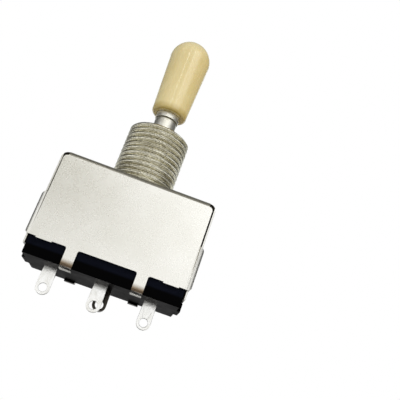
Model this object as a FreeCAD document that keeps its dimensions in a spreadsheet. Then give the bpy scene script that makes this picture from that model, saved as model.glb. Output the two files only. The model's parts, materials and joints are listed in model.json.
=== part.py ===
import FreeCAD, Part
import math
import os
import re
import Sketcher

# Pickup selector switch: a boxed three-way lever switch, in millimetres.
# The origin is the centre of the case's top face, on the axis of the threaded bushing.
# +Z runs up the bushing, X along the long side of the case, and the front faces -Y.
# The lever is modelled upright, in its middle position.

doc = FreeCAD.newDocument("pickup_selector_switch")

# Driving dimensions. Every depth is measured down from the case's top face.
CASE_SIZES = [
    ("sheet_gauge", 0.4, "thickness of the case's sheet"),
    ("case_depth", 15.0, "front face to back face"),
    ("base_show", 3.23, "from the lower edge of the long walls down to the base's underside"),
    ("long_bend", 0.9, "outer radius of the bends along the long edges"),
    ("short_bend", 1.2, "outer radius of the bends at the ends"),
    ("panel_top_inset", 1.05, "a long wall's top corners, in from the outer faces of its wings"),
    ("panel_low_inset", 1.05, "the same at the notches above the wings"),
    ("panel_corner", 0.7, "radius of a long wall's top corners"),
    ("wing_height", 8.02, "from the notch where the wings start down to the long walls' lower edge"),
    ("wing_width", 30.1, "over the wings that wrap round the ends"),
    ("wing_bend", 1.2, "outer radius of the wings' bends"),
    ("wing_return", 3.4, "front face to the free edge of a wing on the end"),
    ("wing_nip", 0.9, "size of the corner cut off each wing, top and bottom"),
    ("step_start", 2.275, "from the corner beside a tab to the start of the low step"),
    ("step_end", 1.05, "from the end of the low step to the wing's bend"),
    ("step_drop", 0.2, "how far the low steps stand below the wall's edge"),
    ("tab_pitch", 12.62, "distance between the two hold-down tabs of a wall"),
    ("tab_width", 2.03, "width of a hold-down tab"),
    ("tab_root", 0.4, "radius in the corners where a tab leaves the wall"),
    ("tab_bend", 0.9, "outer radius of the tabs' folds under the base"),
    ("tab_hook", 2.1, "outer face to the free end of a folded tab"),
    ("flap_inset", 1.0, "an end flap's upright edges, in from the case's front and back faces"),
    ("flap_rise", 1.69, "from the lower end of an end flap down to the base's underside"),
    ("case_hole", 9.5, "hole in the top for the bushing's spigot"),
]
BUSHING_SIZES = [
    ("thread_width", 12.0, "major diameter of the bushing's fine thread"),
    ("thread_length", 11.7, "height of the bushing above the case"),
    ("thread_lead", 0.4, "chamfer at the start of the thread"),
    ("stake_width", 10.2, "diameter of the staked rim under the case's top"),
    ("stake_gauge", 0.6, "thickness of the staked rim"),
    ("throat_width", 5.2, "narrowest part of the bushing's mouth"),
    ("mouth_width", 8.4, "bore of the bushing from its top down to the flare"),
    ("mouth_depth", 3.5, "top of the bushing down to the flare that leads to the throat"),
    ("pivot_height", 4.2, "the ball's centre above the case's top face"),
    ("pin_width", 1.2, "diameter of the cross pin through the ball"),
    ("pin_span", 7.8, "length of the cross pin"),
    ("retainer_drop", 1.6, "the ball's centre down to the top of the retaining ring"),
    ("retainer_waist", 4.65, "bore of the retaining ring"),
    ("retainer_gauge", 1.4, "height of the retaining ring"),
]
LEVER_SIZES = [
    ("swing", 13.0, "degrees that the lever leans to each side"),
    ("ball_width", 6.4, "diameter of the lever's ball"),
    ("shank_width", 3.4, "diameter of the lever between ball and neck"),
    ("neck_width", 4.4, "diameter of the visible neck"),
    ("neck_base", 9.6, "height where the neck reaches its full diameter"),
    ("collar_width", 4.7, "diameter of the collar under the tip"),
    ("collar_base", 15.45, "height of the collar's lower edge"),
    ("collar_height", 1.75, "height of the collar, up to its face inside the tip"),
    ("groove_height", 0.2, "height of the turned groove under the collar"),
    ("groove_depth", 0.12, "depth of that groove in the neck"),
    ("stud_width", 3.0, "diameter of the stud inside the tip"),
    ("stud_length", 9.8, "length of the stud above the collar"),
    ("band_drop", 1.4, "how deep the middle of the tail's end band sits in the slider's slot"),
    ("tail_width", 3.0, "diameter of the tail and of the band round its end"),
    ("tail_band", 0.6, "height of the band round the tail's end"),
    ("tail_waist", 2.2, "diameter of the tail above that band"),
    ("waist_length", 2.6, "from the middle of the band up to the waist's upper end"),
    ("cup_depth", 0.6, "how far the tip's lower face comes down over the collar"),
    ("tip_foot_width", 7.1, "diameter of the tip above its bevelled lower edge"),
    ("tip_foot_bevel", 0.6, "bevel of the tip's lower edge"),
    ("tip_cup_width", 4.8, "recess in the tip for the collar"),
    ("tip_length", 13.45, "from the tip's lower face up to the centre of its dome"),
    ("dome_width", 8.35, "diameter of the tip's dome"),
    ("dome_start", 0.6, "how far below its centre the dome meets the taper"),
]
BASE_SIZES = [
    ("base_bottom", 19.65, "top face of the case to the underside of the base"),
    ("base_edge", 0.25, "rounding of the base's lower edges"),
    ("end_wall", 1.7, "thickness of the base's end walls"),
    ("side_wall", 1.55, "thickness of the base's long walls"),
    ("trench_depth", 3.05, "from the ledges that carry the slider down to the contact floor"),
    ("ledge_width", 1.7, "width of each ledge"),
    ("floor_gauge", 3.05, "thickness of the base under the contact floor"),
    ("ear_lip", 0.1, "how far a stop stands out past the end flap above it"),
    ("ear_span", 4.8, "width of a stop, front to back"),
    ("ear_gap", 0.1, "gap between a stop and the flap above it"),
    ("board_gauge", 0.6, "thickness of the insulating board"),
]
CONTACT_SIZES = [
    ("lug_gauge", 0.5, "thickness of the terminal strip"),
    ("lug_inset", 4.75, "an outer lug's middle line, in from the end of the base"),
    ("rear_shift", 0.7, "sideways offset of the rear lug"),
    ("rear_rise", 0.85, "how much shorter the rear lug is"),
    ("root_width", 2.4, "width of a lug where it leaves the base"),
    ("eye_width", 2.6, "width of a lug across its eye"),
    ("eye_hole", 1.5, "diameter of the hole in the eye"),
    ("eye_drop", 3.8, "from the base's underside down to the holes' centres"),
    ("foot_span", 1.4, "width of a foot beside its lug"),
    ("foot_gap", 0.1, "from a foot's outer edge to the ledge above it"),
    ("pad_length", 5.55, "length of an outer contact's foot"),
    ("common_near", 2.6, "short end of a common contact's foot"),
    ("common_far", 3.4, "long end of a common contact's foot"),
    ("wiper_gauge", 0.2, "thickness of the wiper strips"),
    ("wiper_width", 1.6, "width of a wiper strip"),
    ("wiper_gap", 0.25, "from a wiper's outer edge to the ledge beside it"),
    ("wiper_far_foot", 5.9, "distance of the outer foot from the slider's middle"),
    ("wiper_near_foot", 0.4, "overshoot of the inner foot past the middle"),
    ("wiper_flat_out", 4.2, "outer end of the wiper's clamped flat"),
    ("wiper_flat_in", 1.3, "inner end of the wiper's clamped flat"),
    ("wiper_toe", 0.6, "length of the turned-up toe beyond each foot"),
    ("tongue_length", 1.5, "length of the slider's tongue that passes through a wiper"),
    ("tongue_width", 0.7, "width of that tongue"),
    ("tongue_lap", 0.25, "how far the tongue's flattened head reaches over the wiper"),
    ("tongue_head_gauge", 0.35, "thickness of that head"),
]
SLIDER_SIZES = [
    ("slider_width", 13.0, "length of the slider along the case"),
    ("slider_flange", 1.2, "thickness of the slider's flanges"),
    ("keel_gap", 2.0, "from the slider's underside down to the contact floor"),
    ("tower_width", 6.4, "width of the slider's tower"),
    ("tower_gap", 0.8, "gap between the tower and each rack beside it"),
    ("tower_height", 5.7, "height of the tower above the slider's flanges"),
    ("tower_round", 0.8, "radius of the tower's upright edges"),
    ("slot_depth", 3.6, "depth of the tail's slot in the tower"),
    ("rack_width", 10.4, "length of a notched rack"),
    ("rack_height", 1.0, "height of a rack above its flange"),
    ("rack_inset", 0.45, "gap between a rack and the long wall beside it"),
    ("rack_gauge", 1.2, "width of a rack and of its spring"),
    ("notch_depth", 0.8, "depth and half width of a detent notch"),
    ("spring_gauge", 0.2, "thickness of the detent springs"),
    ("spring_rise", 2.4, "how far the springs' ends lie above their noses"),
    ("spring_end_flat", 1.2, "length of the flat at each spring end"),
    ("spring_bite", 0.45, "how far a spring's end enters the end wall"),
    ("spring_knee", 1.3, "half width of the V in the middle of a spring"),
]
FITS = [
    ("running_fit", 0.05, "gap on each side of a piece that moves"),
    ("seat_fit", 0.02, "gap round a piece that stays put"),
    ("lap_gap", 0.05, "gap between a wing and the end flap that it covers"),
    ("end_gap", 0.2, "gap between an end flap and the base"),
    ("wall_gap", 0.1, "gap between a long wall and the base"),
    ("nose_gap", 0.1, "gap between a spring's nose and its notch at rest"),
]

sheet = doc.addObject("Spreadsheet::Sheet", "Dims")
names = set()
row = 1
for group in (CASE_SIZES, BUSHING_SIZES, LEVER_SIZES, BASE_SIZES, CONTACT_SIZES, SLIDER_SIZES, FITS):
    for name, size, meaning in group:
        sheet.set("A%d" % row, name)
        sheet.set("B%d" % row, str(size))
        sheet.set("C%d" % row, meaning)
        sheet.setAlias("B%d" % row, name)
        names.add(name)
        row += 1
doc.recompute()

# Derived places, written once as expressions of the sheet's cells.
TERMS = {
    "wall_height": "(base_bottom - base_show)",
    "wing_top": "(wall_height - wing_height)",
    "flap_length": "(base_bottom - flap_rise)",
    "flap_span": "(case_depth - 2*flap_inset)",
    "floor_depth": "(base_bottom - floor_gauge)",
    "ledge_depth": "(floor_depth - trench_depth)",
    "keel_depth": "(floor_depth - keel_gap)",
    "tower_top": "(flange_top - tower_height)",
    "slot_floor": "(tower_top + slot_depth)",
    "eye_depth": "(base_bottom + eye_drop)",
    "pad_inner": "(pad_outer - pad_length)",
    "spring_end_depth": "(nose_depth - spring_rise)",
    "collar_top": "(collar_base + collar_height)",
    "stud_top": "(collar_top + stud_length)",
    "tip_bottom": "(collar_top - cup_depth)",
    "dome_centre": "(tip_bottom + tip_length)",
    "tail_reach": "(pivot_height + tower_top + band_drop)",
    "base_top": "(sheet_gauge + board_gauge + 2*seat_fit)",
    "travel": "(tail_reach*sin(swing*1deg))",
    "seat_radius": "(ball_width/2 + running_fit)",
    "cone_reach": "(seat_radius*sqrt(2))",
    "tail_centre": "(pivot_height - tail_reach)",
    "inner_face": "(case_depth/2 - sheet_gauge)",
    "flange_bottom": "(ledge_depth - running_fit)",
    "flange_top": "(ledge_depth - running_fit - slider_flange)",
    "rack_top": "(ledge_depth - running_fit - slider_flange - rack_height)",
    "foot_bottom": "(floor_depth + lug_gauge)",
    "wall_end": "(base_width/2 - end_wall)",
    "flap_width": "(wing_width - 2*sheet_gauge - 2*lap_gap)",
    "panel_top_width": "(wing_width - 2*panel_top_inset)",
    "panel_low_width": "(wing_width - 2*panel_low_inset)",
    "step_outer": "(wing_width - 2*wing_bend - 2*step_end)",
    "step_inner": "(tab_pitch + tab_width + 2*tab_root + 2*step_start)",
    "base_width": "(flap_width - 2*sheet_gauge - 2*end_gap)",
    "base_depth": "(case_depth - 2*sheet_gauge - 2*wall_gap)",
    "ear_width": "(flap_width + 2*ear_lip)",
    "ledge_gap": "(base_depth - 2*side_wall - 2*ledge_width)",
    "lug_pitch": "(base_width/2 - lug_inset)",
    "lug_row": "(foot_reach - foot_span - lug_gauge/2)",
    "foot_reach": "(ledge_gap/2 - foot_gap)",
    "pad_outer": "(lug_pitch + root_width/2)",
    "wiper_row": "(ledge_gap/2 - wiper_gap - wiper_width/2)",
    "rack_row": "(base_depth/2 - side_wall - rack_inset - rack_gauge/2)",
    "tower_span": "(2*rack_row - rack_gauge - 2*tower_gap)",
    "hook_bottom": "(base_bottom + seat_fit + sheet_gauge)",
    "nose_depth": "(rack_top + notch_depth - nose_gap)",
    "arm_start": "(wall_end + spring_bite - spring_end_flat)",
}


def bound(text):
    """Turns a formula in plain names into an expression on the sheet's cells."""
    while re.search(r"\b(%s)\b" % "|".join(TERMS), text):
        text = re.sub(r"[a-z_]+", lambda m: TERMS.get(m.group(0), m.group(0)), text)
    return re.sub(r"[a-z_]+", lambda m: "Dims." + m.group(0) if m.group(0) in names else m.group(0), text)


def value(text):
    """The present size of a formula, in millimetres."""
    return float(sheet.evalExpression(bound(text)))


def bind(item, place, text):
    item.setExpression(place, bound(text))


def new_body(label):
    body = doc.addObject("PartDesign::Body", label)
    body.Label = label
    return body


def new_sketch(body, plane, offset="0"):
    """A sketch on one of the body's own origin planes, moved along the plane's normal."""
    sketch = body.newObject("Sketcher::SketchObject", body.Name + "_sketch")
    support = [item for item in body.Origin.OriginFeatures if item.Role == plane][0]
    sketch.AttachmentSupport = [(support, "")]
    sketch.MapMode = "FlatFace"
    if offset != "0":
        sketch.AttachmentOffset = FreeCAD.Placement(FreeCAD.Vector(0, 0, value(offset)), FreeCAD.Rotation())
        bind(sketch, "AttachmentOffset.Base.z", offset)
    return sketch


def fix_point(sketch, edge, end, across, up):
    """Ties one end of an edge to two formulas, measured from the sketch's origin."""
    for kind, text, axis in (("DistanceX", across, -2), ("DistanceY", up, -1)):
        if text == "0":
            sketch.addConstraint(Sketcher.Constraint("PointOnObject", edge, end, axis))
        else:
            index = sketch.addConstraint(Sketcher.Constraint(kind, -1, 1, edge, end, value(text)))
            bind(sketch, "Constraints[%d]" % index, text)


def arc_between(start, finish, radius, turn):
    """The arc from start to finish, anticlockwise for turn 1 and clockwise for turn -1."""
    chord = finish - start
    half = chord.Length / 2
    rise = math.sqrt(max(radius * radius - half * half, 0.0))
    side = FreeCAD.Vector(-chord.y, chord.x, 0).normalize() * (rise * turn)
    centre = (start + finish) * 0.5 + side
    first, last = (start, finish) if turn > 0 else (finish, start)
    angles = [math.atan2(point.y - centre.y, point.x - centre.x) for point in (first, last)]
    circle = Part.Circle(centre, FreeCAD.Vector(0, 0, 1), radius)
    return Part.ArcOfCircle(circle, angles[0], angles[1])


def outline(sketch, points):
    """A closed outline. A point is (across, up), or (across, up, radius, turn) after an arc."""
    spots = [FreeCAD.Vector(value(point[0]), value(point[1]), 0) for point in points]
    ends = []
    for index, point in enumerate(points):
        following = (index + 1) % len(points)
        arc = points[following][2:]
        if arc:
            edge = sketch.addGeometry(arc_between(spots[index], spots[following], value(arc[0]), arc[1]))
            ends.append((edge, 1, 2) if arc[1] > 0 else (edge, 2, 1))
        else:
            edge = sketch.addGeometry(Part.LineSegment(spots[index], spots[following]))
            ends.append((edge, 1, 2))
    for index, point in enumerate(points):
        edge, start, finish = ends[index]
        following = ends[(index + 1) % len(points)]
        sketch.addConstraint(Sketcher.Constraint("Coincident", edge, finish, following[0], following[1]))
        fix_point(sketch, edge, start, point[0], point[1])
        arc = points[(index + 1) % len(points)][2:]
        if arc:
            radius = sketch.addConstraint(Sketcher.Constraint("Radius", edge, value(arc[0])))
            bind(sketch, "Constraints[%d]" % radius, arc[0])


def rectangle(sketch, left, right, low, high):
    outline(sketch, [(left, low), (right, low), (right, high), (left, high)])


def circle(sketch, across, up, radius):
    centre = FreeCAD.Vector(value(across), value(up), 0)
    edge = sketch.addGeometry(Part.Circle(centre, FreeCAD.Vector(0, 0, 1), value(radius)))
    index = sketch.addConstraint(Sketcher.Constraint("Radius", edge, value(radius)))
    bind(sketch, "Constraints[%d]" % index, radius)
    fix_point(sketch, edge, 3, across, up)


def swept(body, kind, sketch, length=None, symmetric=False, backwards=False):
    """A pad or a pocket of a sketch, over a length or through everything."""
    feature = body.newObject("PartDesign::" + kind, body.Name + "_" + kind.lower())
    feature.Profile = sketch
    if length is None:
        feature.Type = "ThroughAll"
    else:
        feature.Length = value(length)
        bind(feature, "Length", length)
    feature.SideType = "Symmetric" if symmetric else "One side"
    feature.Reversed = backwards
    return feature


def revolved(body, points):
    """The main turned form of a body, from a half section of (radius, height) points."""
    sketch = new_sketch(body, "XZ_Plane")
    outline(sketch, points)
    feature = body.newObject("PartDesign::Revolution", body.Name + "_turned")
    feature.Profile = sketch
    feature.ReferenceAxis = (sketch, ["V_Axis"])
    feature.Angle = 360
    return feature


def mirrored(body, features, plane):
    """Copies features to the other side of one of the body's origin planes."""
    feature = body.newObject("PartDesign::Mirrored", body.Name + "_mirrored")
    feature.Originals = features
    support = [item for item in body.Origin.OriginFeatures if item.Role == plane][0]
    feature.MirrorPlane = (support, [""])
    body.Tip = feature
    return feature


def flipped(points):
    """The same closed outline on the other side of the sketch's upright axis."""
    turned = []
    for point in points:
        across = "0" if point[0] == "0" else "-(%s)" % point[0]
        turned.append((across, point[1]) + ((point[2], -point[3]) if point[2:] else ()))
    return turned


def both_halves(points):
    """Completes an outline given as its left half, from its top end down to its lower end."""
    whole = list(points)
    for index in range(len(points) - 1, -1, -1):
        across, up = points[index][:2]
        following = points[index + 1][2:] if index + 1 < len(points) else ()
        whole.append(("-(%s)" % across, up) + following)
    return whole


def rounded_rectangle(half_across, half_up, radius):
    """The outline of a rectangle round the sketch's origin with four equal round corners."""
    across, up = "%s - %s" % (half_across, radius), "%s - %s" % (half_up, radius)
    return [
        ("-(%s)" % across, "-(%s)" % half_up, radius, 1),
        (across, "-(%s)" % half_up),
        (half_across, "-(%s)" % up, radius, 1),
        (half_across, up),
        (across, half_up, radius, 1),
        ("-(%s)" % across, half_up),
        ("-(%s)" % half_across, up, radius, 1),
        ("-(%s)" % half_across, "-(%s)" % up),
    ]


def make_case():
    """The folded sheet case: top, two long walls with wings and tabs, and two end flaps."""
    body = new_body("case")
    half_depth = "case_depth/2"
    channel = new_sketch(body, "YZ_Plane")
    outline(channel, [
        ("-case_depth/2", "-long_bend", "long_bend", 1),
        ("-inner_face", "-long_bend"),
        ("-(case_depth/2 - long_bend)", "-sheet_gauge", "long_bend - sheet_gauge", -1),
        ("case_depth/2 - long_bend", "-sheet_gauge"),
        ("inner_face", "-long_bend", "long_bend - sheet_gauge", -1),
        ("case_depth/2", "-long_bend"),
        ("case_depth/2 - long_bend", "0", "long_bend", 1),
        ("-(case_depth/2 - long_bend)", "0"),
    ])
    swept(body, "Pad", channel, "panel_top_width - 2*panel_corner", symmetric=True)

    wall = new_sketch(body, "XZ_Plane", "inner_face")
    outline(wall, both_halves(long_wall_half()))
    repeated = [swept(body, "Pad", wall, "sheet_gauge")]

    wings = new_sketch(body, "XY_Plane", "-wall_height")
    wing = [
        ("wing_width/2 - wing_bend", "-case_depth/2"),
        ("wing_width/2", "-(case_depth/2 - wing_bend)", "wing_bend", 1),
        ("wing_width/2", "-(case_depth/2 - wing_return)"),
        ("wing_width/2 - sheet_gauge", "-(case_depth/2 - wing_return)"),
        ("wing_width/2 - sheet_gauge", "-(case_depth/2 - wing_bend)"),
        ("wing_width/2 - wing_bend", "-inner_face", "wing_bend - sheet_gauge", -1),
    ]
    outline(wings, wing)
    outline(wings, flipped(wing))
    repeated.append(swept(body, "Pad", wings, "wall_height - wing_top"))

    hook = [
        ("-case_depth/2", "-(hook_bottom - tab_bend)"),
        ("-(case_depth/2 - tab_bend)", "-hook_bottom", "tab_bend", 1),
        ("-(case_depth/2 - tab_hook)", "-hook_bottom"),
        ("-(case_depth/2 - tab_hook)", "-(hook_bottom - sheet_gauge)"),
        ("-(case_depth/2 - tab_bend)", "-(hook_bottom - sheet_gauge)"),
        ("-inner_face", "-(hook_bottom - tab_bend)", "tab_bend - sheet_gauge", -1),
    ]
    for side in ("-", ""):
        fold = new_sketch(body, "YZ_Plane", side + "tab_pitch/2")
        outline(fold, hook)
        repeated.append(swept(body, "Pad", fold, "tab_width", symmetric=True))
    mirrored(body, repeated, "XZ_Plane")

    nips = new_sketch(body, "XZ_Plane")
    low_nip = [
        ("wing_width/2 - wing_nip", "-wall_height"),
        ("wing_width/2", "-(wall_height - wing_nip)", "wing_nip", 1),
        ("wing_width/2 + wing_nip", "-(wall_height - wing_nip)"),
        ("wing_width/2 + wing_nip", "-wall_height"),
    ]
    high_nip = [
        ("wing_width/2 - wing_nip", "-wing_top"),
        ("wing_width/2", "-(wing_top + wing_nip)", "wing_nip", -1),
        ("wing_width/2 + wing_nip", "-(wing_top + wing_nip)"),
        ("wing_width/2 + wing_nip", "-wing_top"),
    ]
    for corner in (low_nip, high_nip):
        outline(nips, corner)
        outline(nips, flipped(corner))
    swept(body, "Pocket", nips, symmetric=True)

    ends = new_sketch(body, "XZ_Plane")
    outline(ends, [
        ("-flap_width/2", "-short_bend", "short_bend", 1),
        ("-flap_width/2", "-flap_length"),
        ("-(flap_width/2 - sheet_gauge)", "-flap_length"),
        ("-(flap_width/2 - sheet_gauge)", "-short_bend"),
        ("-(flap_width/2 - short_bend)", "-sheet_gauge", "short_bend - sheet_gauge", -1),
        ("flap_width/2 - short_bend", "-sheet_gauge"),
        ("flap_width/2 - sheet_gauge", "-short_bend", "short_bend - sheet_gauge", -1),
        ("flap_width/2 - sheet_gauge", "-flap_length"),
        ("flap_width/2", "-flap_length"),
        ("flap_width/2", "-short_bend"),
        ("flap_width/2 - short_bend", "0", "short_bend", 1),
        ("-(flap_width/2 - short_bend)", "0"),
    ])
    swept(body, "Pad", ends, "flap_span", symmetric=True)

    hole = new_sketch(body, "XY_Plane")
    circle(hole, "0", "0", "case_hole/2")
    swept(body, "Pocket", hole, symmetric=True)
    return body


def long_wall_half():
    """The left half of a long wall's outline, from its top corner down to the middle."""
    far_side = "tab_pitch/2 + tab_width/2"
    near_side = "tab_pitch/2 - tab_width/2"
    fold_line = "-(hook_bottom - tab_bend)"
    return [
        ("-(panel_top_width/2 - panel_corner)", "-long_bend"),
        ("-panel_top_width/2", "-(long_bend + panel_corner)", "panel_corner", 1),
        ("-panel_low_width/2", "-wing_top"),
        ("-(wing_width/2 - wing_bend)", "-wing_top"),
        ("-(wing_width/2 - wing_bend)", "-wall_height"),
        ("-step_outer/2", "-wall_height"),
        ("-step_outer/2", "-(wall_height + step_drop)"),
        ("-step_inner/2", "-(wall_height + step_drop)"),
        ("-step_inner/2", "-wall_height"),
        ("-(%s + tab_root)" % far_side, "-wall_height"),
        ("-(%s)" % far_side, "-(wall_height + tab_root)", "tab_root", -1),
        ("-(%s)" % far_side, fold_line),
        ("-(%s)" % near_side, fold_line),
        ("-(%s)" % near_side, "-(wall_height + tab_root)"),
        ("-(%s - tab_root)" % near_side, "-wall_height", "tab_root", -1),
    ]


def make_insulating_board():
    """A fibre sheet between the case's top and the base's rim, cut out round the staked rim."""
    body = new_body("insulating_board")
    sheet_form = new_sketch(body, "XY_Plane", "-(sheet_gauge + seat_fit + board_gauge)")
    across, along = "(flap_width/2 - short_bend)", "(case_depth/2 - long_bend)"
    rectangle(sheet_form, "-" + across, across, "-" + along, along)
    circle(sheet_form, "0", "0", "stake_width/2 + running_fit")
    swept(body, "Pad", sheet_form, "board_gauge")
    return body


def make_bushing():
    """The turned bushing: threaded barrel, cone over the ball, flared mouth and staked rim."""
    body = new_body("bushing")
    rim_bottom = "-(sheet_gauge + stake_gauge)"
    revolved(body, [
        ("seat_radius", rim_bottom),
        ("stake_width/2", rim_bottom),
        ("stake_width/2", "-sheet_gauge"),
        ("case_hole/2 - seat_fit", "-sheet_gauge"),
        ("case_hole/2 - seat_fit", "0"),
        ("thread_width/2", "0"),
        ("thread_width/2", "thread_length - thread_lead"),
        ("thread_width/2 - thread_lead", "thread_length"),
        ("mouth_width/2", "thread_length"),
        ("mouth_width/2", "thread_length - mouth_depth"),
        ("throat_width/2", "pivot_height + cone_reach - throat_width/2"),
        ("seat_radius", "pivot_height + cone_reach - seat_radius"),
    ])
    slot = new_sketch(body, "XY_Plane", rim_bottom)
    half_slot = "(pin_width/2 + running_fit)"
    reach = "(pin_span/2 + 2*running_fit)"
    rectangle(slot, "-" + half_slot, half_slot, "-" + reach, reach)
    depth = "sheet_gauge + stake_gauge + pivot_height + " + half_slot
    swept(body, "Pocket", slot, depth, backwards=True)
    return body


def make_ball_retainer():
    """The ring pressed into the bushing from below, which carries the lever's ball."""
    body = new_body("ball_retainer")
    bottom = "pivot_height - retainer_drop - retainer_gauge"
    revolved(body, [
        ("retainer_waist/2", bottom),
        ("seat_radius - seat_fit", bottom),
        ("seat_radius - seat_fit", "pivot_height - retainer_drop"),
        ("cone_reach - retainer_drop", "pivot_height - retainer_drop"),
        ("retainer_waist/2", "pivot_height + retainer_waist/2 - cone_reach"),
    ])
    return body


def make_lever():
    """The turned lever: stud, collar, grooved neck, ball, and a waisted tail with a band at its end."""
    body = new_body("lever")
    ball, tail = "ball_width/2", "tail_width/2"
    revolved(body, [
        ("0", "stud_top"),
        ("0", "tail_centre - tail_band/2"),
        (tail, "tail_centre - tail_band/2"),
        (tail, "tail_centre + tail_band/2"),
        ("tail_waist/2", "tail_centre + tail_band/2"),
        ("tail_waist/2", "tail_centre + waist_length"),
        (tail, "tail_centre + waist_length"),
        (tail, "pivot_height - sqrt((%s)^2 - (%s)^2)" % (ball, tail)),
        ("shank_width/2", "pivot_height + sqrt((%s)^2 - (shank_width/2)^2)" % ball, ball, 1),
        ("shank_width/2", "neck_base - (neck_width - shank_width)/2"),
        ("neck_width/2", "neck_base"),
        ("neck_width/2", "collar_base - groove_height"),
        ("neck_width/2 - groove_depth", "collar_base - groove_height"),
        ("neck_width/2 - groove_depth", "collar_base"),
        ("collar_width/2", "collar_base"),
        ("collar_width/2", "collar_top"),
        ("stud_width/2", "collar_top"),
        ("stud_width/2", "stud_top"),
    ])
    bore = new_sketch(body, "XZ_Plane")
    circle(bore, "0", "pivot_height", "pin_width/2 + seat_fit")
    swept(body, "Pocket", bore, symmetric=True)
    return body


def make_pivot_pin():
    """The cross pin through the ball, which turns in the bushing's slots."""
    pin = doc.addObject("Part::Cylinder", "pivot_pin")
    pin.Label = "pivot_pin"
    pin.Placement = FreeCAD.Placement(FreeCAD.Vector(0, 0, 0), FreeCAD.Rotation(FreeCAD.Vector(1, 0, 0), -90))
    bind(pin, "Radius", "pin_width/2")
    bind(pin, "Height", "pin_span")
    bind(pin, "Placement.Base.y", "-pin_span/2")
    bind(pin, "Placement.Base.z", "pivot_height")
    return pin


def make_tip():
    """The domed, tapering tip, hollow for the lever's stud and collar."""
    body = new_body("tip")
    dome = "dome_width/2"
    revolved(body, [
        ("tip_cup_width/2", "tip_bottom"),
        ("tip_foot_width/2 - tip_foot_bevel", "tip_bottom"),
        ("tip_foot_width/2", "tip_bottom + tip_foot_bevel"),
        ("sqrt((%s)^2 - dome_start^2)" % dome, "dome_centre - dome_start"),
        ("0", "dome_centre + " + dome, dome, 1),
        ("0", "stud_top + running_fit"),
        ("stud_width/2 + seat_fit", "stud_top + running_fit"),
        ("stud_width/2 + seat_fit", "collar_top + running_fit"),
        ("tip_cup_width/2", "collar_top + running_fit"),
    ])
    return body


def foot_outline(name, grow="0"):
    """A terminal's foot seen from above, made larger by grow on every side for its recess."""
    front_high = "-(lug_row + lug_gauge/2 - %s)" % grow
    front_low = "-(foot_reach + %s)" % grow
    rear_low = "lug_row + lug_gauge/2 - %s" % grow
    rear_high = "foot_reach + %s" % grow
    spans = {
        "terminal_left": ("-(pad_outer + %s)", "-(pad_inner - %s)", front_low, front_high),
        "terminal_centre_front": ("-(common_near + %s)", "common_far + %s", front_low, front_high),
        "terminal_centre_rear": ("-(common_far + %s)", "common_near + %s", rear_low, rear_high),
    }
    if name in spans:
        left, right, low, high = spans[name]
        left, right = left % grow, right % grow
        return [(left, low), (right, low), (right, high), (left, high)]
    outer = "pad_outer + %s" % grow
    inner = "pad_inner - %s" % grow
    side = "lug_pitch - root_width/2 - %s" % grow
    start = "-(lug_row - lug_gauge/2 + %s)" % grow
    return [
        (side, start),
        (outer, start),
        (outer, rear_high),
        (inner, rear_high),
        (inner, rear_low),
        (side, rear_low),
    ]


# Each terminal: the middle of its lug across the case, its row, the way its foot is folded, and
# the depth of its eye.
TERMINALS = {
    "terminal_left": ("-lug_pitch", "-lug_row", -1, "eye_depth"),
    "terminal_centre_front": ("0", "-lug_row", -1, "eye_depth"),
    "terminal_right": ("lug_pitch", "-lug_row", 1, "eye_depth"),
    "terminal_centre_rear": ("rear_shift", "lug_row", 1, "(eye_depth - rear_rise)"),
}


def make_terminal(name):
    """A stamped strip: a lug with an eye below the base, folded over into a foot on the floor."""
    middle, row_place, side, eye = TERMINALS[name]
    body = new_body(name)
    lug = new_sketch(body, "XZ_Plane", "-(%s)" % row_place)
    left, right = "%s - " % middle, "%s + " % middle
    outline(lug, [
        (left + "root_width/2", "-foot_bottom"),
        (left + "root_width/2", "-base_bottom"),
        (left + "eye_width/2", "-" + eye),
        (middle, "-(%s + eye_width/2)" % eye, "eye_width/2", 1),
        (right + "eye_width/2", "-" + eye, "eye_width/2", 1),
        (right + "root_width/2", "-base_bottom"),
        (right + "root_width/2", "-foot_bottom"),
    ])
    circle(lug, middle, "-" + eye, "eye_hole/2")
    swept(body, "Pad", lug, "lug_gauge", symmetric=True)

    inner = "%s + (%d)*lug_gauge/2" % (row_place, side)
    outer = "%s - (%d)*lug_gauge/2" % (row_place, side)
    fold = new_sketch(body, "YZ_Plane", middle)
    outline(fold, [
        (inner, "-foot_bottom"),
        (outer, "-foot_bottom"),
        (inner, "-floor_depth", "lug_gauge", -side),
    ])
    swept(body, "Pad", fold, "root_width", symmetric=True)

    foot = new_sketch(body, "XY_Plane", "-foot_bottom")
    outline(foot, foot_outline(name))
    swept(body, "Pad", foot, "lug_gauge")
    return body


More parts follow.
